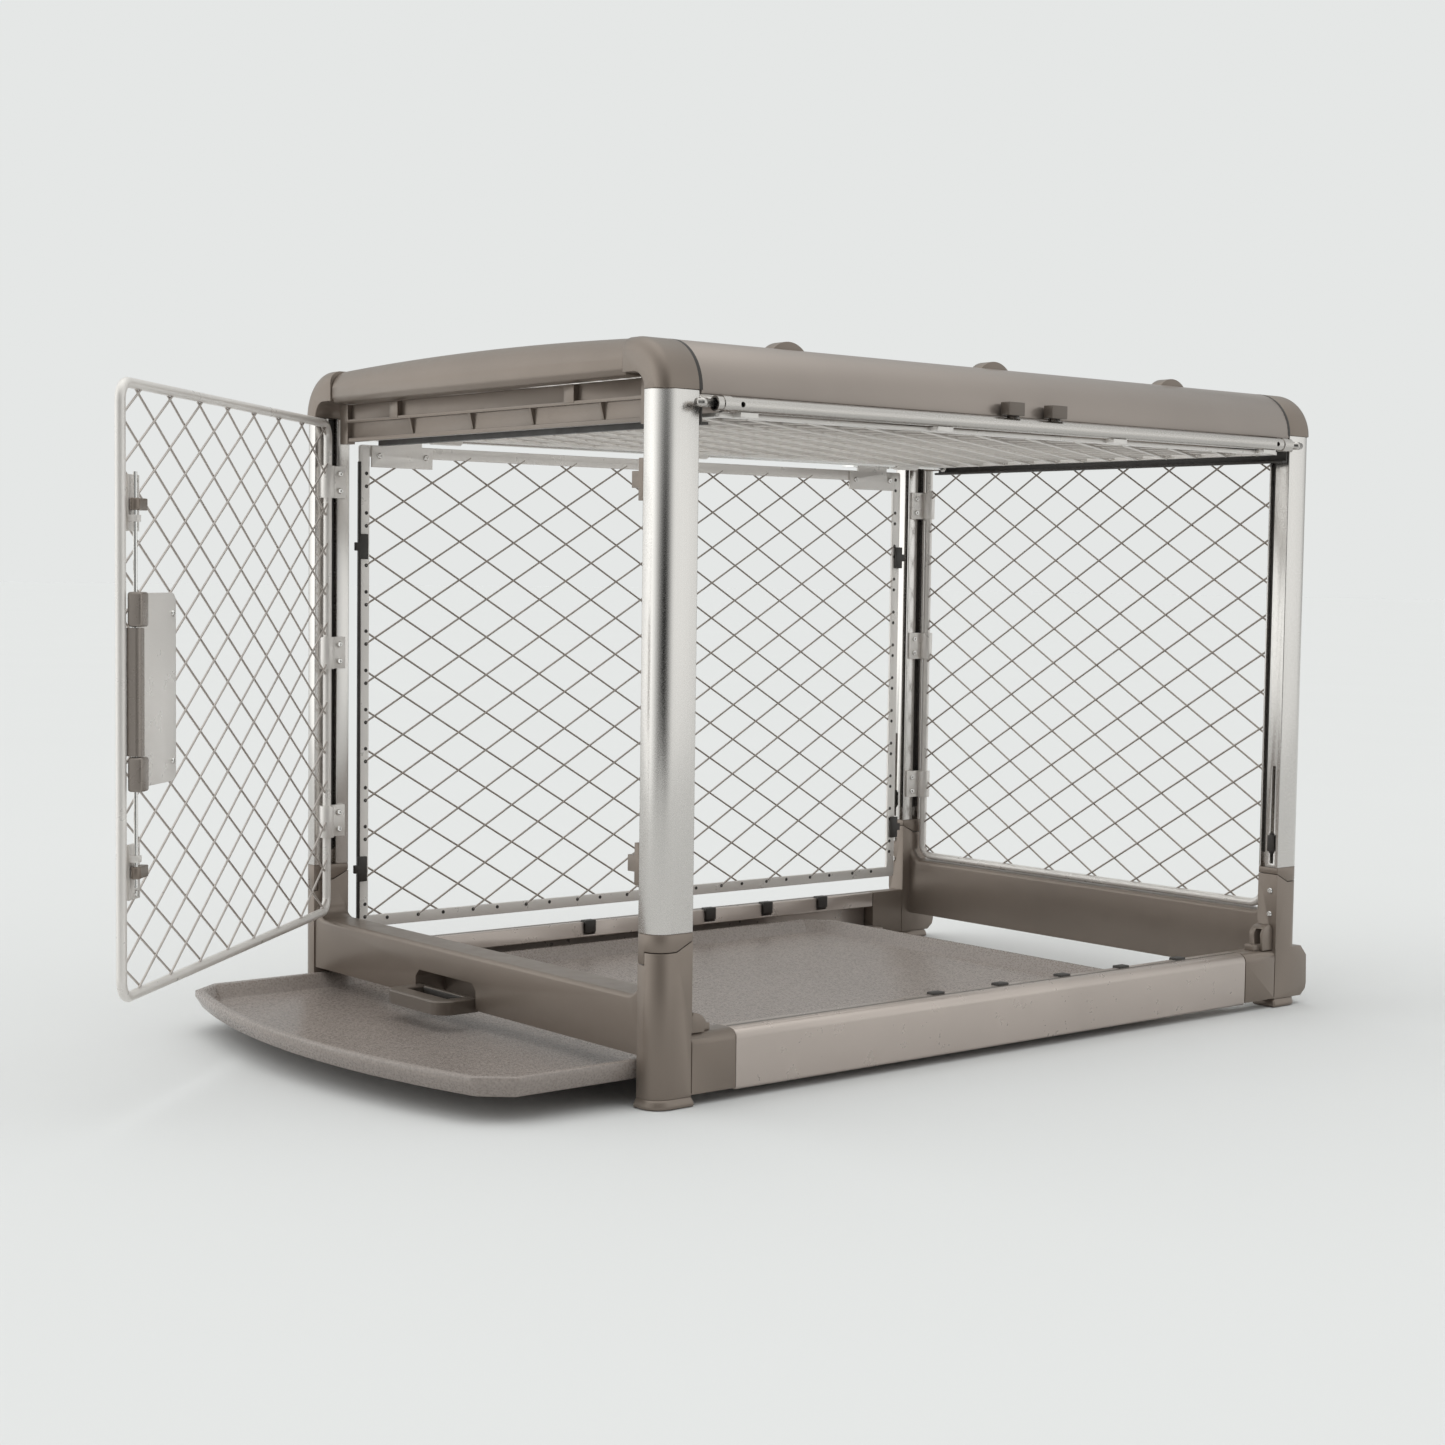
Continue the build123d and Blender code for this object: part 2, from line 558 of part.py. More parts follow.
# hinge clamps hold the vertical frame wire of the end panels
for ay, sy, name in ((DOOR_AY, 1, "front_hinge_clamps"), (REAR_AY, -1, "rear_hinge_clamps")):
    with BuildPart() as clamps:
        for z in CLAMP_Z:
            rod_z(z - 15, z + 15, DOOR_AX, ay, 6.6)
            block(-HX + POST_FL, -HX + POST_FL + 5, ay - 5, ay + 5, z - 15, z + 15)
            block(-HX + POST_FL, -HX + POST_FL + 2.6, ay - 4, ay + sy * 22, z - 15, z + 15)
            rod_z(z - 20, z + 20, DOOR_AX, ay, 4.08, mode=Mode.SUBTRACT)
    save(clamps, name)

with BuildPart() as clamp_screws:
    for ay, sy in ((DOOR_AY, 1), (REAR_AY, -1)):
        for z in CLAMP_Z:
            for dz in (-8, 8):
                rod_x(-HX + POST_FL + 2.6, -HX + POST_FL + 4.2, ay + sy * 15.5, z + dz, 2.7)
save(clamp_screws, "clamp_screws")

# rear end panel, closed
REAR_P0 = REAR_Z1 + 5.0
rear_plane = Plane(origin=(DOOR_AX, REAR_AY, 0), x_dir=(1, 0, 0), z_dir=(0, -1, 0))
wire_frame(rear_plane, REAR_W, REAR_P0, DOOR_Z1, "rear_panel_frame")
make_mesh(rear_plane, 9.0, REAR_W - 7.0, REAR_P0 + 7.0, DOOR_Z1 - 7.0, MESH_W, MESH_H, "rear_panel_mesh")

# ------------------------------- long wall ---------------------------------
wall_plane = Plane(origin=(WALL_X, 0, 0), x_dir=(0, 1, 0), z_dir=(1, 0, 0))
ym, zm = (WALL_Y0 + WALL_Y1) / 2, (WALL_Z0 + WALL_Z1) / 2
with BuildPart() as back_wall_frame:
    with BuildSketch(wall_plane):
        with Locations((ym, zm)):
            RectangleRounded(WALL_Y1 - WALL_Y0, WALL_Z1 - WALL_Z0, 3)
            Rectangle(WALL_Y1 - WALL_Y0 - 22, WALL_Z1 - WALL_Z0 - 22, mode=Mode.SUBTRACT)
    extrude(amount=1.6, both=True)
save(back_wall_frame, "back_wall_frame")
make_mesh(wall_plane, WALL_Y0 + 11.2, WALL_Y1 - 11.2, WALL_Z0 + 11.2, WALL_Z1 - 11.2, MESH_W, MESH_H, "back_wall_mesh", rim=2.0)

PLATES = ((-343.0, -275.0), (275.0, 343.0))
with BuildPart() as wall_hinge_plates:
    for y0, y1 in PLATES:
        block(WALL_X + 1.6, WALL_X + 4.0, y0, y1, 517, 537)
        block(WALL_X + 1.6, WALL_X + 4.0, y0 + 12, y1 - 12, 536, WALL_AZ)
        rod_y(y0 + 12, y1 - 12, WALL_AX, WALL_AZ, 4.6)
        rod_y(y0, y1, WALL_AX, WALL_AZ, 2.58, mode=Mode.SUBTRACT)
        for ys in (y0 + 8, y1 - 8):
            rod_x(WALL_X + 3.6, WALL_X + 5.6, ys, 528, 2.6)
save(wall_hinge_plates, "wall_hinge_plates")

with BuildPart() as wall_hinge_pins:
    for y0, y1 in PLATES:
        rod_y(y0 + 5, y1 - 5, WALL_AX, WALL_AZ, 2.5)
        for ye in (y0 + 4, y1 - 10):
            block(-HX + 5, WALL_AX + 4.5, ye, ye + 6, WALL_AZ - 4.2, 561)
save(wall_hinge_pins, "wall_hinge_pins")

with BuildPart() as wall_clips:
    for ye, s in ((WALL_Y0, -1), (WALL_Y1, 1)):
        for z in (441, 131):
            block(WALL_X + 1.6, WALL_X + 5, ye - s * 8.0, ye + s * 2.0, z - 12, z + 12)
            block(WALL_X + 1.6, WALL_X + 5, ye, ye + s * 6.0, z - 4, z + 4)
save(wall_clips, "wall_clips")

# --------------------------- long side door, stowed ------------------------
with BuildPart() as side_door_tracks:
    for sy in (-1, 1):
        block(-204, 276, sy * 364.0, sy * 366.2, 534.5, 551.0)
        block(-204, 276, sy * 357.8, sy * 366.2, 534.5, 536.8)
        block(-204, 276, sy * 357.8, sy * 366.2, 549.2, 551.0)
        for x in (-196, -60, 90, 225):
            block(x - 9, x + 9, sy * 362.0, sy * 378.0, 551.0, 553.5)
save(side_door_tracks, "side_door_tracks")

with BuildPart() as side_door_rod:
    rod_y(-363.4, 363.4, SIDE_PX, SIDE_PZ, 3.6)
    for sy in (-1, 1):
        rod_y(sy * 358.6, sy * 363.2, SIDE_PX, SIDE_PZ, 5.4)
save(side_door_rod, "side_door_rod")

sx0, sx1 = SIDE_PX + 5.5, 277.0
side_plane = Plane(origin=(0, 0, SIDE_PZ), x_dir=(1, 0, 0), z_dir=(0, 0, 1))
with BuildPart() as side_door_frame:
    with BuildSketch(side_plane):
        with Locations(((sx0 + sx1) / 2, 0)):
            RectangleRounded(sx1 - sx0, 2 * SIDE_HY, 3)
            Rectangle(sx1 - sx0 - 22, 2 * SIDE_HY - 22, mode=Mode.SUBTRACT)
    extrude(amount=1.6, both=True)
    for y in (-300, 0, 300):
        rod_y(y - 16, y + 16, SIDE_PX, SIDE_PZ, 5.6)
        block(SIDE_PX, SIDE_PX + 7, y - 16, y + 16, SIDE_PZ - 1.6, SIDE_PZ + 1.6)
    rod_y(-SIDE_HY, SIDE_HY, SIDE_PX, SIDE_PZ, 3.68, mode=Mode.SUBTRACT)
    # lugs that carry the bar
    for y in (-325, -110, 110, 325):
        block(270, BAR_X, y - 9, y + 9, SIDE_PZ - 1.6, SIDE_PZ + 1.6)
        block(BAR_X - 3, BAR_X + 3, y - 9, y + 9, SIDE_PZ - 1.6, BAR_Z - BAR_R + 0.2)
    rod_y(-SIDE_HY - 20, SIDE_HY + 20, BAR_X, BAR_Z, BAR_R + 0.05, mode=Mode.SUBTRACT)
save(side_door_frame, "side_door_frame")
make_mesh(side_plane, sx0 + 11.2, sx1 - 11.2, -SIDE_HY + 11.2, SIDE_HY - 11.2, MESH_H, MESH_W, "side_door_mesh", rim=2.0)

with BuildPart() as side_door_bar:
    rod_y(-358, 358, BAR_X, BAR_Z, BAR_R)
    for sy in (-1, 1):
        rod_y(sy * 344, sy * 352, BAR_X, BAR_Z, BAR_R + 0.7)
    rod_y(-359, 359, BAR_X, BAR_Z, 4.4, mode=Mode.SUBTRACT)
    for sy in (-1, 1):
        block(BAR_X - 2.4, BAR_X + 2.4, sy * 8, sy * 36, BAR_Z, BAR_Z + BAR_R + 2, mode=Mode.SUBTRACT)
        rod_x(BAR_X, BAR_X + 12, sy * 334, BAR_Z, 2.2, mode=Mode.SUBTRACT)
save(side_door_bar, "side_door_bar")

for sy, name, tab_name in ((-1, "side_pin_front", "side_tab_front"), (1, "side_pin_rear", "side_tab_rear")):
    with BuildPart() as pin:
        rod_y(sy * 18, sy * 376, BAR_X, BAR_Z, 3.2)
        rod_y(sy * 22, sy * 30, BAR_X, BAR_Z, 4.0)
        block(BAR_X - 1.8, BAR_X + 1.8, sy * 20, sy * 32, BAR_Z, BAR_Z + 8)
        rod_y(sy * 366, sy * 373, BAR_X, BAR_Z, 3.8)
    save(pin, name)
    # hollow finger tab, open towards the rear
    with BuildPart() as tab:
        ym = sy * 27
        block(BAR_X - 4.6, BAR_X + 5.5, ym - 10, ym + 10, BAR_Z + 8.0, BAR_Z + 19.5)
        block(BAR_X - 3.0, BAR_X + 3.9, ym + 2.5, ym + 11, BAR_Z + 10.0, BAR_Z + 17.5, mode=Mode.SUBTRACT)
    save(tab, tab_name)

# -------------------------------- roof hatch -------------------------------
hatch_plane = Plane(origin=(0, 0, 600.2), x_dir=(1, 0, 0), z_dir=(0, 0, 1))
with BuildPart() as roof_hatch_frame:
    with BuildSketch(hatch_plane):
        RectangleRounded(2 * 203.0, 2 * 349.0, 5)
        Rectangle(2 * 191.0, 2 * 337.0, mode=Mode.SUBTRACT)
    extrude(amount=2.0, both=True)
    # hinge lugs
    for y in KNOB_Y:
        for s in (-1, 1):
            block(196, HATCH_AX, y + s * 19.5, y + s * 27.5, 598.2, 602.2)
            rod_y(y + s * 19.5, y + s * 27.5, HATCH_AX, HATCH_AZ, 3.6)
            rod_y(y + s * 18, y + s * 29, HATCH_AX, HATCH_AZ, 2.13, mode=Mode.SUBTRACT)
save(roof_hatch_frame, "roof_hatch_frame")
make_mesh(hatch_plane, -190.8, 190.8, -336.8, 336.8, MESH_H, MESH_W, "roof_hatch_mesh", rim=2.0)

with BuildPart() as roof_hinge_knobs:
    for y in KNOB_Y:
        with BuildSketch(Plane.YZ.offset(222.0)):
            with BuildLine():
                Line((y - 17, Z_TOP), (y + 17, Z_TOP))
                ThreePointArc((y + 17, Z_TOP), (y, Z_TOP + 7.0), (y - 17, Z_TOP))
            make_face()
        extrude(amount=13)
        # bearer that holds the hinge pin in the pocket of the rail
        block(206.6, 224, y - 16, y + 16, Z_TOP, Z_TOP + 1.2)
        block(206.6, 217.2, y - 16, y + 16, 596.8, Z_TOP + 0.5)
        rod_y(y - 27, y + 27, HATCH_AX, HATCH_AZ, 2.05)
save(roof_hinge_knobs, "roof_hinge_knobs")

print("parts written:", len(os.listdir("parts")))
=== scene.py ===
import bpy
import bmesh
import json
import math
from mathutils import Matrix, Vector


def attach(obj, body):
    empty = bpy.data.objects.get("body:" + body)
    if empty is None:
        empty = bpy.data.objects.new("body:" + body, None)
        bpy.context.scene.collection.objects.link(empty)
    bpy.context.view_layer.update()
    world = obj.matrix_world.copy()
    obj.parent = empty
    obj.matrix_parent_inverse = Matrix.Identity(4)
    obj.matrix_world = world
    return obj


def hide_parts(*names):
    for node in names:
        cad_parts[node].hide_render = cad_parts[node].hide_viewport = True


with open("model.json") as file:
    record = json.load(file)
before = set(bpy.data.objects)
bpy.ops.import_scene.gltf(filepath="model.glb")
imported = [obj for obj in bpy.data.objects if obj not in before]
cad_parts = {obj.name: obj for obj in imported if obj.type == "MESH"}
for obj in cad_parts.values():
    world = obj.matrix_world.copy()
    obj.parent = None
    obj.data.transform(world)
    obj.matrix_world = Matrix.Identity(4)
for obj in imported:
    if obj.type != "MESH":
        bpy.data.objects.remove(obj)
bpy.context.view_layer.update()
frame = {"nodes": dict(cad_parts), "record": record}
NODES = frame["nodes"]
BODY_OF = {n: b for b, ns in frame["record"]["behaviour"]["bodies"].items() for n in ns}
MM = 0.001


# ------------------------------------------------------------------ materials
def new_material(name):
    m = bpy.data.materials.new(name)
    m.use_nodes = True
    nt = m.node_tree
    nt.nodes.clear()
    out = nt.nodes.new("ShaderNodeOutputMaterial")
    bsdf = nt.nodes.new("ShaderNodeBsdfPrincipled")
    nt.links.new(bsdf.outputs["BSDF"], out.inputs["Surface"])
    co = nt.nodes.new("ShaderNodeTexCoord")
    return m, nt, bsdf, co


def noise(nt, co, scale, detail=2.0, rough=0.5, stretch=None):
    n = nt.nodes.new("ShaderNodeTexNoise")
    n.inputs["Scale"].default_value = scale
    n.inputs["Detail"].default_value = detail
    n.inputs["Roughness"].default_value = rough
    if stretch is None:
        nt.links.new(co.outputs["Object"], n.inputs["Vector"])
    else:
        mp = nt.nodes.new("ShaderNodeMapping")
        mp.inputs["Scale"].default_value = stretch
        nt.links.new(co.outputs["Object"], mp.inputs["Vector"])
        nt.links.new(mp.outputs["Vector"], n.inputs["Vector"])
    return n


def ramp(nt, fac, stops):
    r = nt.nodes.new("ShaderNodeValToRGB")
    r.color_ramp.elements[0].position = stops[0][0]
    r.color_ramp.elements[0].color = (*stops[0][1], 1)
    r.color_ramp.elements[1].position = stops[-1][0]
    r.color_ramp.elements[1].color = (*stops[-1][1], 1)
    for p, c in stops[1:-1]:
        e = r.color_ramp.elements.new(p)
        e.color = (*c, 1)
    nt.links.new(fac, r.inputs["Fac"])
    return r


def spread(nt, fac, low, high):
    r = nt.nodes.new("ShaderNodeMapRange")
    r.inputs["From Min"].default_value = 0.3
    r.inputs["From Max"].default_value = 0.7
    r.inputs["To Min"].default_value = low
    r.inputs["To Max"].default_value = high
    nt.links.new(fac, r.inputs["Value"])
    return r


def bump(nt, height, bsdf, strength, distance):
    b = nt.nodes.new("ShaderNodeBump")
    b.inputs["Strength"].default_value = strength
    b.inputs["Distance"].default_value = distance
    nt.links.new(height, b.inputs["Height"])
    nt.links.new(b.outputs["Normal"], bsdf.inputs["Normal"])
    return b


def mul(c, k):
    return tuple(min(1.0, x * k) for x in c)


def moulded(name, base, rough=(0.36, 0.48), grain=1400.0, depth=0.10, metal=0.0, grit=0.6):
    # satin moulded plastic or powder coat: fine grain, slow colour drift, uneven sheen
    m, nt, bsdf, co = new_material(name)
    fine = noise(nt, co, grain, 3.0, 0.6)
    slow = noise(nt, co, 7.0, 3.0, 0.5)
    mid = noise(nt, co, 55.0, 4.0, 0.6)
    col = ramp(nt, slow.outputs["Fac"], [(0.25, mul(base, 0.93)), (0.5, base), (0.75, mul(base, 1.06))])
    gritty = ramp(nt, fine.outputs["Fac"], [(0.3, (0.90, 0.90, 0.90)), (0.7, (1.0, 1.0, 1.0))])
    mixn = nt.nodes.new("ShaderNodeMixRGB")
    mixn.blend_type = "MULTIPLY"
    mixn.inputs["Fac"].default_value = grit
    nt.links.new(col.outputs["Color"], mixn.inputs["Color1"])
    nt.links.new(gritty.outputs["Color"], mixn.inputs["Color2"])
    nt.links.new(mixn.outputs["Color"], bsdf.inputs["Base Color"])
    rr = spread(nt, mid.outputs["Fac"], *rough)
    nt.links.new(rr.outputs["Result"], bsdf.inputs["Roughness"])
    bsdf.inputs["Metallic"].default_value = metal
    bump(nt, fine.outputs["Fac"], bsdf, depth, 0.0004)
    return m


def extruded(name, base, rough=(0.20, 0.30), along=(1.0, 1.0, 0.008), blast=0.5):
    # anodised extrusion: fine blasted grain over faint hairline streaks along its length
    m, nt, bsdf, co = new_material(name)
    streak = noise(nt, co, 1600.0, 3.0, 0.6, along)
    grain = noise(nt, co, 1500.0, 2.0, 0.7)
    slow = noise(nt, co, 5.0, 2.0, 0.5)
    col = ramp(nt, slow.outputs["Fac"], [(0.3, mul(base, 0.96)), (0.7, mul(base, 1.03))])
    st = ramp(nt, streak.outputs["Fac"], [(0.3, (0.94, 0.94, 0.94)), (0.7, (1.0, 1.0, 1.0))])
    gr = ramp(nt, grain.outputs["Fac"], [(0.3, (0.86, 0.86, 0.86)), (0.7, (1.0, 1.0, 1.0))])
    mixn = nt.nodes.new("ShaderNodeMixRGB")
    mixn.blend_type = "MULTIPLY"
    mixn.inputs["Fac"].default_value = 0.7
    nt.links.new(col.outputs["Color"], mixn.inputs["Color1"])
    nt.links.new(st.outputs["Color"], mixn.inputs["Color2"])
    mix2 = nt.nodes.new("ShaderNodeMixRGB")
    mix2.blend_type = "MULTIPLY"
    mix2.inputs["Fac"].default_value = blast
    nt.links.new(mixn.outputs["Color"], mix2.inputs["Color1"])
    nt.links.new(gr.outputs["Color"], mix2.inputs["Color2"])
    nt.links.new(mix2.outputs["Color"], bsdf.inputs["Base Color"])
    rr = spread(nt, grain.outputs["Fac"], *rough)
    nt.links.new(rr.outputs["Result"], bsdf.inputs["Roughness"])
    bsdf.inputs["Metallic"].default_value = 1.0
    bump(nt, grain.outputs["Fac"], bsdf, 0.05, 0.0002)
    return m


def speckled(name, base):
    # tray plastic: pebbled grain and pale and dark flecks
    m, nt, bsdf, co = new_material(name)
    fleck = noise(nt, co, 520.0, 3.0, 0.7)
    slow = noise(nt, co, 6.0, 2.0, 0.5)
    vor = nt.nodes.new("ShaderNodeTexVoronoi")
    vor.inputs["Scale"].default_value = 330.0
    nt.links.new(co.outputs["Object"], vor.inputs["Vector"])
    col = ramp(nt, fleck.outputs["Fac"], [(0.34, mul(base, 0.80)), (0.46, mul(base, 0.96)), (0.56, mul(base, 1.03)), (0.68, mul(base, 1.22))])
    drift = ramp(nt, slow.outputs["Fac"], [(0.3, (0.93, 0.93, 0.93)), (0.7, (1.0, 1.0, 1.0))])
    mixn = nt.nodes.new("ShaderNodeMixRGB")
    mixn.blend_type = "MULTIPLY"
    mixn.inputs["Fac"].default_value = 0.8
    nt.links.new(col.outputs["Color"], mixn.inputs["Color1"])
    nt.links.new(drift.outputs["Color"], mixn.inputs["Color2"])
    nt.links.new(mixn.outputs["Color"], bsdf.inputs["Base Color"])
    rr = spread(nt, fleck.outputs["Fac"], 0.22, 0.34)
    nt.links.new(rr.outputs["Result"], bsdf.inputs["Roughness"])
    bump(nt, vor.outputs["Distance"], bsdf, 0.18, 0.0006)
    return m


TAUPE = (0.225, 0.184, 0.153)
M_PLASTIC = moulded("taupe_plastic", TAUPE, rough=(0.28, 0.38), depth=0.02, metal=0.38, grit=0.35)
M_RAIL = moulded("taupe_coated_rail", (0.335, 0.288, 0.257), rough=(0.28, 0.31), grain=1900.0, depth=0.004, metal=0.45, grit=0.2)
M_BASE_RAIL = moulded("taupe_base_rail", (0.50, 0.438, 0.398), rough=(0.27, 0.29), grain=1900.0, depth=0.0, metal=0.55, grit=0.1)
M_ALU = extruded("champagne_aluminium", (0.665, 0.64, 0.615))
M_FRAME = moulded("coated_frame", (0.78, 0.745, 0.71), rough=(0.26, 0.36), grain=2200.0, depth=0.05, metal=0.25)
M_WIRE = moulded("coated_wire", (0.36, 0.315, 0.28), rough=(0.26, 0.38), grain=2200.0, depth=0.05, metal=0.45)
# painted light: a paler copy of the wire coating for the side door and roof hatch meshes, standing in for how they look
# where lit
M_WIRE_PAINTED_LIT = moulded("coated_wire_painted_lit", (0.74, 0.70, 0.66), rough=(0.30, 0.42), grain=2200.0, depth=0.05, metal=0.25)
M_WIRE_DOOR = moulded("coated_wire_door", (0.52, 0.475, 0.44), rough=(0.26, 0.38), grain=2200.0, depth=0.05, metal=0.4)
M_HANDLE = moulded("handle_plastic", (0.150, 0.124, 0.104), rough=(0.28, 0.38), grain=1700.0, depth=0.06, metal=0.35)
M_DARK = moulded("dark_plastic", (0.032, 0.027, 0.023), rough=(0.40, 0.55))
M_GRIP = moulded("grip_plastic", (0.28, 0.243, 0.215), rough=(0.24, 0.34), grain=1700.0, depth=0.05, metal=0.4)
M_STEEL = extruded("bright_steel", (0.82, 0.81, 0.79), rough=(0.16, 0.28), along=(1.0, 1.0, 1.0), blast=0.2)
M_BAR = extruded("bar_metal", (0.52, 0.495, 0.47), rough=(0.20, 0.30), along=(1.0, 0.008, 1.0), blast=0.3)
M_TRAY = speckled("tray_plastic", (0.30, 0.258, 0.234))
SLOT_MAT = {"taupe_plastic": M_PLASTIC, "taupe_coated_rail": M_RAIL, "champagne_aluminium": M_ALU, "coated_frame": M_FRAME,
            "coated_wire": M_WIRE, "dark_plastic": M_DARK, "steel": M_STEEL, "bar_metal": M_BAR, "tray_plastic": M_TRAY}
SLOT_OF = {s["node"]: s["material_slot"] for s in frame["record"]["subparts"]}
for name, ob in NODES.items():
    ob.data.materials.clear()
    ob.data.materials.append(SLOT_MAT[SLOT_OF[name]])


# ------------------------------------------------------------ mesh building
def piece(name, bm, mat, body, stands_for=(), smooth=True, sharp=35.0):
    me = bpy.data.meshes.new(name)
    bm.normal_update()
    bm.to_mesh(me)
    bm.free()
    ob = bpy.data.objects.new(name, me)
    bpy.context.scene.collection.objects.link(ob)
    me.materials.append(mat)
    if smooth:
        me.polygons.foreach_set("use_smooth", [True] * len(me.polygons))
        me.set_sharp_from_angle(angle=math.radians(sharp))
    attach(ob, body)
    if stands_for:
        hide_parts(*stands_for)
    return ob


def softened(node, width, segments=2, angle=30.0, mat=None):
    # the node's own solid with small rounded edges
    bm = bmesh.new()
    bm.from_mesh(NODES[node].data)
    bmesh.ops.remove_doubles(bm, verts=bm.verts, dist=2e-6)
    bmesh.ops.dissolve_limit(bm, angle_limit=math.radians(0.4), verts=bm.verts, edges=bm.edges)
    edges = [e for e in bm.edges if len(e.link_faces) == 2 and e.calc_face_angle(0.0) > math.radians(angle)]
    bmesh.ops.bevel(bm, geom=edges, offset=width * MM, offset_type="OFFSET", segments=segments, profile=0.5,
                    affect="EDGES", clamp_overlap=True)
    slot = SLOT_OF[node]
    return piece("v_" + node, bm, mat or SLOT_MAT[slot], BODY_OF[node], (node,), sharp=40.0)


def tube(bm, pts, r, sides=10, caps=True):
    # round wire along a polyline
    rings = []
    n = len(pts)
    ref = None
    for i, p in enumerate(pts):
        if i == 0:
            t = (pts[1] - pts[0]).normalized()
        elif i == n - 1:
            t = (pts[-1] - pts[-2]).normalized()
        else:
            t = ((pts[i + 1] - p).normalized() + (p - pts[i - 1]).normalized()).normalized()
        if ref is None:
            ref = t.orthogonal().normalized()
        ref = (ref - t * ref.dot(t)).normalized()
        b = t.cross(ref)
        rings.append([bm.verts.new(p + (ref * math.cos(a) + b * math.sin(a)) * r)
                      for a in (2 * math.pi * k / sides for k in range(sides))])
    for a, b in zip(rings, rings[1:]):
        for k in range(sides):
            bm.faces.new((a[k], a[(k + 1) % sides], b[(k + 1) % sides], b[k]))
    if caps:
        bm.faces.new(list(reversed(rings[0])))
        bm.faces.new(rings[-1])


def mesh_lines(u0, u1, v0, v1, cu, cv, pw, ph):
    # both families of straight strands through crossings at (cu, cv), clipped to the field
    out = []
    for s in (1, -1):
        k = s * ph / pw
        n = int((u1 - u0) / pw + (v1 - v0) / ph) + 4
        for i in range(-n, n + 1):
            c = cv + i * ph - k * cu
            pts = []
            for u in (u0, u1):
                v = k * u + c
                if v0 <= v <= v1:
                    pts.append((u, v))
            for v in (v0, v1):
                u = (v - c) / k
                if u0 < u < u1:
                    pts.append((u, v))
            pts.sort()
            if len(pts) >= 2 and math.dist(pts[0], pts[-1]) > 6:
                out.append((s, pts[0], pts[-1]))
    return out


def wire_field(name, node, origin, xd, yd, zd, u0, u1, v0, v1, cu, cv, pw, ph, r=1.05, keep_out=None, mat=None):
    # two layers of round wire, one family lying on the other
    bm = bmesh.new()
    o, xd, yd, zd = Vector(origin), Vector(xd), Vector(yd), Vector(zd)
    ends = []
    for s, a, b in mesh_lines(u0, u1, v0, v1, cu, cv, pw, ph):
        w = s * r * 0.92
        steps = max(2, int(math.dist(a, b) / 90))
        runs = [[]]
        for i in range(steps + 1):
            t = i / steps
            runs[-1].append((a[0] + (b[0] - a[0]) * t, a[1] + (b[1] - a[1]) * t))
        if keep_out:
            runs = cut_runs(runs[0], keep_out)
        for run in runs:
            if len(run) >= 2:
                tube(bm, [(o + xd * u + yd * v + zd * w) * MM for u, v in run], r * MM)
        ends += [(a, s), (b, s)]
    ob = piece(name, bm, mat or M_WIRE, BODY_OF[node], (node,), sharp=60.0)
    return ob, ends


def cut_runs(run, box):
    # leaves out the stretch of a straight strand behind a box (u0, u1, v0, v1)
    (ua, va), (ub, vb) = run[0], run[-1]
    lo, hi = 0.0, 1.0
    for p, d, a, b in ((ua, ub - ua, box[0], box[1]), (va, vb - va, box[2], box[3])):
        if abs(d) < 1e-9:
            if not a < p < b:
                return [run]
            continue
        t0, t1 = sorted(((a - p) / d, (b - p) / d))
        lo, hi = max(lo, t0), min(hi, t1)
    if lo >= hi:
        return [run]
    at = lambda t: (ua + (ub - ua) * t, va + (vb - va) * t)
    out = []
    if lo > 0.01:
        out.append([at(0.0), at(lo)])
    if hi < 0.99:
        out.append([at(hi), at(1.0)])
    return out


# mesh panels -------------------------------------------------------------
A = math.radians(-48.0)
DOOR_O = (-247.0, -395.0, 0.0)
DOOR_X, DOOR_Y, DOOR_Z = (math.cos(A), math.sin(A), 0), (0, 0, 1), (math.sin(A), -math.cos(A), 0)


def on_door(p):
    return Vector(DOOR_O) + Vector(DOOR_X) * p[0] + Vector(DOOR_Y) * p[1] + Vector(DOOR_Z) * p[2]


wire_field("front_door_wires", "front_door_mesh", DOOR_O, DOOR_X, DOOR_Y, DOOR_Z, 3.0, 478.0, 98.0, 552.0, 12.0, 101.0, 62.2, 37.4,
           r=0.95, mat=M_WIRE_DOOR)
wire_field("rear_panel_wires", "rear_panel_mesh", (-247.0, 392.0, 0.0), (1, 0, 0), (0, 0, 1), (0, -1, 0), 3.0, 485.0, 100.0, 552.0,
           12.0, 104.0, 62.2, 37.2, r=0.95)
wall_wires, wall_ends = wire_field("back_wall_wires", "back_wall_mesh", (-258.0, 0.0, 0.0), (0, 1, 0), (0, 0, 1), (1, 0, 0),
                                   -347.5, 347.5, 81.5, 530.5, -337.0, 90.0, 64.2, 37.7, r=0.95)
wire_field("side_door_wires", "side_door_mesh", (0.0, 0.0, 543.0), (1, 0, 0), (0, 1, 0), (0, 0, 1), -178.0, 269.0, -342.0, 342.0,
           -170.0, -334.0, 37.6, 63.6, r=1.25, mat=M_WIRE_PAINTED_LIT)
wire_field("roof_hatch_wires", "roof_hatch_mesh", (0.0, 0.0, 600.2), (1, 0, 0), (0, 1, 0), (0, 0, 1), -193.0, 193.0, -339.0, 339.0,
           -186.0, -332.0, 37.2, 63.2, r=1.25, mat=M_WIRE_PAINTED_LIT)


# small fittings ------------------------------------------------------------
def plain(p):
    return Vector(p)


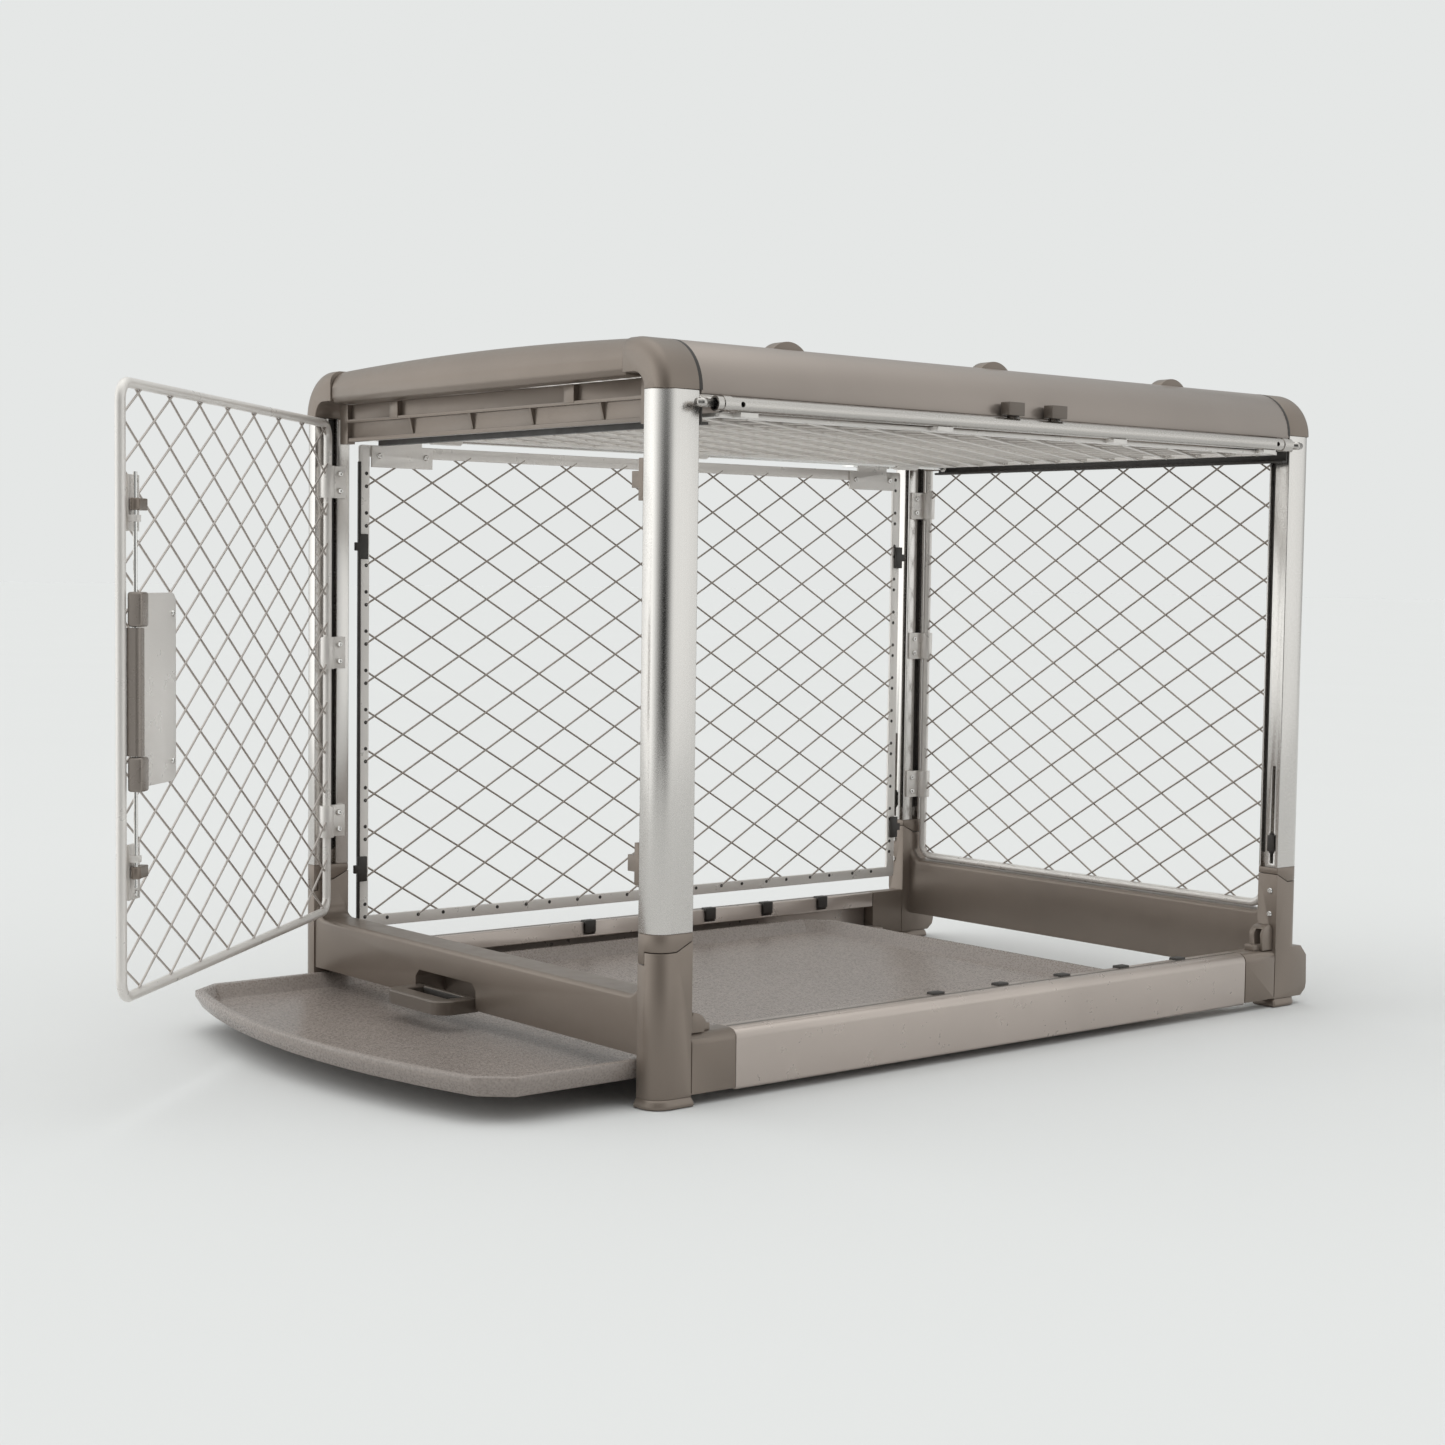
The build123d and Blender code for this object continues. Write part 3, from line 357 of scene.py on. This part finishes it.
def bevel_boxes(name, boxes, mat, body, width, place=plain, segments=3, stands_for=()):
    # several blocks with rounded edges, given by opposite corners in the frame of place
    bm = bmesh.new()
    for lo, hi in boxes:
        vs = bmesh.ops.create_cube(bm, size=1.0)["verts"]
        for v in vs:
            v.co = Vector([(lo[k] + hi[k]) / 2 + v.co[k] * abs(hi[k] - lo[k]) for k in range(3)])
    bmesh.ops.bevel(bm, geom=list(bm.edges), offset=width, offset_type="OFFSET", segments=segments, profile=0.5,
                    affect="EDGES", clamp_overlap=True)
    for v in bm.verts:
        v.co = place(v.co) * MM
    bmesh.ops.recalc_face_normals(bm, faces=bm.faces)
    return piece(name, bm, mat, body, stands_for, sharp=40.0)


def screw(bm, at, normal, r, h, sides=18):
    # domed head with a hexagon socket
    n = Vector(normal).normalized()
    a = n.orthogonal().normalized()
    b = n.cross(a)
    rings = []
    for rr, hh in ((r, 0.0), (r, 0.45 * h), (0.93 * r, 0.75 * h), (0.72 * r, h), (0.50 * r, h), (0.44 * r, 0.30 * h)):
        rings.append([bm.verts.new((Vector(at) + n * hh + (a * math.cos(t) + b * math.sin(t)) * rr) * MM)
                      for t in (2 * math.pi * k / sides for k in range(sides))])
    for p, q in zip(rings, rings[1:]):
        for k in range(sides):
            bm.faces.new((p[k], p[(k + 1) % sides], q[(k + 1) % sides], q[k]))
    bm.faces.new(list(reversed(rings[0])))
    bm.faces.new(rings[-1])


def screws(name, places, body, mat=None, stands_for=()):
    bm = bmesh.new()
    for at, normal, r, h in places:
        screw(bm, at, normal, r, h)
    return piece(name, bm, mat or M_STEEL, body, stands_for, sharp=35.0)


door_n = tuple(-Vector(DOOR_Z))
screws("latch_plate_screws", [(on_door((u, v, -4.3)), door_n, 2.5, 1.7) for u, v in ((457, 288), (457, 363), (392, 268), (392, 383))], "front_door")
screws("rod_guide_screws", [(on_door((464, v, -4.2)), door_n, 2.6, 1.8) for v in (482.5, 449.5, 206.5, 173.5)], "front_door")
screws("hinge_plate_screws", [((-254.0, y, 528), (1, 0, 0), 2.9, 2.2) for y in (-335, -283, 283, 335)], "back_wall")
screws("clamp_screw_heads", [((-251.4, ay + sy * 15.5, z + dz), (1, 0, 0), 2.9, 2.0)
                             for ay, sy in ((-395, 1), (392, -1)) for z in (180, 340, 501) for dz in (-8, 8)], "frame",
       stands_for=("clamp_screws",))
screws("base_screw_heads", [((sx * 269, sy * 367.5, z), (0, -sy, 0), 3.0, 1.8) for sx in (-1, 1) for sy in (-1, 1) for z in (92, 115)],
       "frame", stands_for=("base_screws",))
# wire ends let into the strip round the long wall
seen = set()
dots = []
for (u, v), sgn in wall_ends:
    key = (round(u), round(v))
    if key not in seen and v < 530.0:
        seen.add(key)
        dots.append(((-256.45, u, v), (1, 0, 0), 1.8, 0.45))
screws("wall_wire_eyes", dots, "back_wall", mat=M_DARK)
# painted shade: a dark strip along the front edge of the long wall's frame, standing in for the shaded side of its
# channel
bevel_boxes("wall_edge_painted_shade", [((-259.8, -355.6, 80), (-256.0, -353.2, 522)), ((-259.8, -353.4, 79.6), (-256.4, -351.6, 81.6))], M_DARK, "back_wall",
            0.6)
# latch: pale plate, grip sockets
bm = bmesh.new()
ring = []
for cu, cv, q in ((458, 391, 0), (392, 391, 1), (392, 260, 2), (458, 260, 3)):
    for k in range(9):
        t = math.radians(90 * q + 90 * k / 8)
        ring.append((cu + 8 * math.cos(t), cv + 8 * math.sin(t)))
lo = [bm.verts.new(Vector((u, v, -1.9))) for u, v in ring]
hi = [bm.verts.new(Vector((u, v, -4.3))) for u, v in ring]
bm.faces.new(lo)
bm.faces.new(list(reversed(hi)))
for k in range(len(ring)):
    bm.faces.new((lo[k], hi[k], hi[(k + 1) % len(ring)], lo[(k + 1) % len(ring)]))
bm.normal_update()
rim = [e for e in bm.edges if abs(e.verts[0].co.z - e.verts[1].co.z) < 1e-6]
bmesh.ops.bevel(bm, geom=rim, offset=0.7, offset_type="OFFSET", segments=2, profile=0.5, affect="EDGES", clamp_overlap=True)
for v in bm.verts:
    v.co = on_door(v.co) * MM
bmesh.ops.recalc_face_normals(bm, faces=bm.faces)
piece("latch_plate", bm, M_FRAME, "front_door", ("door_latch_plate",), sharp=40.0)
bevel_boxes("latch_sockets", [((465.8, v - 13, -16.0), (480.4, v + 13, -4.4)) for v in (264, 387)]
            + [((461.0, v - 13, -9.0), (467.0, v + 13, -3.2)) for v in (264, 387)],
            M_GRIP, "front_door", 2.2, place=on_door, segments=4)
# painted shade: a dark strip on the plate standing in for the shadow gap between the plate and the grip
bevel_boxes("latch_gap_painted_shade", [((461.5, 278.0, -5.0), (465.6, 373.0, -4.0))], M_DARK, "front_door", 0.3, place=on_door)
# painted shade: dark strips at the root of the pull handle's loop, where the recess lies in shade
bevel_boxes("handle_loop_painted_shade", [((-56.5, -406.3, 39.6), (4.5, -404.2, 50.2)), ((-56.5, -405.6, 38.9), (4.5, -403.8, 40.2))], M_DARK, "pull_handle",
            0.3)
# painted shade: dark strips at the bottom of the long grooves in the posts, where the grooves lie in shade
for sx, side in ((-1, "left"), (1, "right")):
    boxes = []
    for sy in (-1, 1):
        boxes.append(((sx * 260.3, sy * 381.3, 152), (sx * 258.6, sy * 389.7, 560)))
        boxes.append(((sx * 256.3, sy * 372.8, 152), (sx * 260.7, sy * 371.0, 560)))
    bevel_boxes("post_groove_painted_shade_" + side, boxes, M_DARK, "frame", 0.2, segments=1)
# painted shade: a thin dark strip along the top of each base rail, standing in for its channel in shade
for sx, side in ((-1, "left"), (1, "right")):
    bevel_boxes("rail_top_painted_shade_" + side, [((sx * 262.6, -321.1, 56.0), (sx * 266.4, 0.4, 57.12)), ((sx * 262.6, -0.4, 56.0), (sx * 266.4, 321.1, 57.14))],
                M_HANDLE, "frame", 0.1, segments=1)
# painted shade: dark bands in the seams between the elbows and the roof rails, standing in for the shadow gap there
for sx, side in ((-1, "left"), (1, "right")):
    bm = bmesh.new()
    for sy in (-1, 1):
        rows = []
        for y in (sy * 364.6, sy * 367.8):
            row = []
            for r in (42.12, 37.5):
                for k in range(17):
                    t = math.radians(90 * k / 16)
                    row.append(bm.verts.new(Vector((sx * (235 + r * math.cos(t)), y, 561 + r * math.sin(t))) * MM))
            rows.append((row[:17], row[17:]))
        (a0, a1), (b0, b1) = rows
        for k in range(16):
            bm.faces.new((a0[k], a0[k + 1], b0[k + 1], b0[k]))
            bm.faces.new((a1[k + 1], a1[k], b1[k], b1[k + 1]))
            bm.faces.new((a0[k + 1], a0[k], a1[k], a1[k + 1]))
            bm.faces.new((b0[k], b0[k + 1], b1[k + 1], b1[k]))
        bm.faces.new((a0[0], b0[0], b1[0], a1[0]))
        bm.faces.new((a0[16], a1[16], b1[16], b0[16]))
    bmesh.ops.recalc_face_normals(bm, faces=bm.faces)
    piece("roof_seam_painted_shade_" + side, bm, M_DARK, "frame", sharp=40.0)

# rounded edges on the moulded and folded pieces ---------------------------
NODES["door_latch_grip"].data.materials[0] = M_GRIP
NODES["pull_handle"].data.materials[0] = M_HANDLE
# end pins a hair slimmer than their bores, so the faceted skins stay apart when they slide
for node in ("side_pin_front", "side_pin_rear"):
    bm = bmesh.new()
    bm.from_mesh(NODES[node].data)
    bmesh.ops.remove_doubles(bm, verts=bm.verts, dist=2e-6)
    bm.normal_update()
    shift = [(v, v.normal.copy()) for v in bm.verts]
    for v, n in shift:
        v.co -= n * 0.15 * MM
    piece("v_" + node, bm, SLOT_MAT[SLOT_OF[node]], BODY_OF[node], (node,), sharp=40.0)
FINISH = {"base_rail_left": M_BASE_RAIL, "base_rail_right": M_BASE_RAIL, "side_tab_front": M_HANDLE, "side_tab_rear": M_HANDLE}
for node, width in (("base_front_end", 1.2), ("base_rear_end", 1.2), ("corner_feet", 1.5), ("post_caps", 0.6),
                    ("base_rail_left", 0.8), ("base_rail_right", 0.8), ("rail_clips_left", 0.7), ("rail_clips_right", 0.7),
                    ("side_door_catches", 1.4), ("roof_beam_front", 1.2), ("roof_beam_rear", 1.2), ("roof_inner_front", 0.6),
                    ("roof_inner_rear", 0.6), ("roof_rail_left", 0.8), ("roof_rail_right", 0.8), ("roof_hinge_knobs", 1.0),
                    ("elbow_front_left", 0.6), ("elbow_front_right", 0.6), ("elbow_rear_left", 0.6), ("elbow_rear_right", 0.6),
                    ("tray", 1.2), ("wall_hinge_plates", 0.5), ("wall_clips", 0.6),
                    ("door_rod_guides", 0.5), ("door_lock_cams", 0.8), ("side_tab_front", 0.7), ("side_tab_rear", 0.7), ("front_hinge_clamps", 0.5), ("rear_hinge_clamps", 0.5),
                    ("door_strikes", 0.6), ("back_wall_frame", 0.5), ("side_door_frame", 0.5), ("roof_hatch_frame", 0.5),
                    ("post_lock_left", 0.5), ("post_lock_right", 0.5), ("side_door_tracks", 0.4), ("wall_hinge_pins", 0.4),
                    ("post_front_left", 0.7), ("post_front_right", 0.7), ("post_rear_left", 0.7), ("post_rear_right", 0.7)):
    softened(node, width, mat=FINISH.get(node))

# ---------------------------------------------------------------- stage
floor_mat, nt, bsdf, co = new_material("pale_floor")
slow = noise(nt, co, 1.5, 2.0)
colr = ramp(nt, slow.outputs["Fac"], [(0.3, (0.708, 0.709, 0.707)), (0.7, (0.714, 0.715, 0.713))])
nt.links.new(colr.outputs["Color"], bsdf.inputs["Base Color"])
bsdf.inputs["Roughness"].default_value = 0.85
bsdf.inputs["Specular IOR Level"].default_value = 0.1
bm = bmesh.new()
bm.faces.new([bm.verts.new(Vector(p)) for p in ((-60.0, -1.3, 0), (1.3, -1.3, 0), (1.3, 60.0, 0), (-60.0, 60.0, 0))])
me = bpy.data.meshes.new("floor")
bm.to_mesh(me)
bm.free()
floor = bpy.data.objects.new("floor", me)
floor.location.z = -0.0004
bpy.context.scene.collection.objects.link(floor)
me.materials.append(floor_mat)

# soft room light: pale all round, brighter at the left front, the right back and overhead
world = bpy.data.worlds.new("room")
bpy.context.scene.world = world
world.use_nodes = True
nt = world.node_tree
nt.nodes.clear()
out = nt.nodes.new("ShaderNodeOutputWorld")
bg = nt.nodes.new("ShaderNodeBackground")
nt.links.new(bg.outputs["Background"], out.inputs["Surface"])
co = nt.nodes.new("ShaderNodeTexCoord")


def math_node(op, a, b=None):
    n = nt.nodes.new("ShaderNodeMath")
    n.operation = op
    for i, x in enumerate((a, b)):
        if x is None:
            continue
        if isinstance(x, (int, float)):
            n.inputs[i].default_value = x
        else:
            nt.links.new(x, n.inputs[i])
    return n.outputs[0]


def lobe(direction, power, gain):
    d = nt.nodes.new("ShaderNodeVectorMath")
    d.operation = "DOT_PRODUCT"
    nt.links.new(co.outputs["Generated"], d.inputs[0])
    d.inputs[1].default_value = Vector(direction).normalized()
    pos = math_node("MAXIMUM", d.outputs["Value"], 0.0)
    return math_node("MULTIPLY", math_node("POWER", pos, power), gain)


total = math_node("ADD", 0.46, lobe((-0.60, -0.80, 0.10), 3.0, 1.35))
total = math_node("ADD", total, lobe((0.788, 0.615, 0.10), 4.0, 0.75))
total = math_node("ADD", total, lobe((0.0, 0.0, 1.0), 4.0, 1.45))
total = math_node("SUBTRACT", total, lobe((0.90, -0.44, 0.0), 5.0, 0.50))
bg.inputs["Color"].default_value = (0.991, 1.011, 1.001, 1)
seen_tone = nt.nodes.new("ShaderNodeMix")
seen_tone.data_type = "FLOAT"
path = nt.nodes.new("ShaderNodeLightPath")
nt.links.new(path.outputs["Is Camera Ray"], seen_tone.inputs[0])
nt.links.new(total, seen_tone.inputs[2])
seen_tone.inputs[3].default_value = 0.79
nt.links.new(seen_tone.outputs[0], bg.inputs["Strength"])


def area(name, loc, target, size, power, color=(1, 1, 1)):
    la = bpy.data.lights.new(name, "AREA")
    la.shape = "RECTANGLE"
    la.size, la.size_y = size
    la.energy = power
    la.color = color
    ob = bpy.data.objects.new(name, la)
    ob.location = loc
    ob.rotation_euler = (Vector(target) - Vector(loc)).to_track_quat("-Z", "Y").to_euler()
    bpy.context.scene.collection.objects.link(ob)
    return ob


area("key_overhead", (-0.3, -0.2, 3.2), (0, 0, 0.3), (3.0, 3.0), 0.6)

# ---------------------------------------------------------------- camera
yaw, pitch, roll = math.radians(140.6231), math.radians(-3.5787), math.radians(0.769)
fw = Vector((math.cos(pitch) * math.cos(yaw), math.cos(pitch) * math.sin(yaw), math.sin(pitch)))
rt = Vector((math.sin(yaw), -math.cos(yaw), 0))
up = rt.cross(fw)
rt2 = rt * math.cos(roll) + up * math.sin(roll)
up2 = -rt * math.sin(roll) + up * math.cos(roll)
cam = bpy.data.cameras.new("camera")
cam.sensor_width = 36.0
cam.lens = 2341.08 / 1445.0 * 36.0
cam.shift_x = -2.33 / 1445.0
cam_ob = bpy.data.objects.new("camera", cam)
cam_ob.matrix_world = Matrix(((rt2.x, up2.x, -fw.x, 1.7005), (rt2.y, up2.y, -fw.y, -1.5065), (rt2.z, up2.z, -fw.z, 0.4175), (0, 0, 0, 1)))
bpy.context.scene.collection.objects.link(cam_ob)
bpy.context.scene.camera = cam_ob
bpy.context.scene.view_settings.view_transform = "Standard"
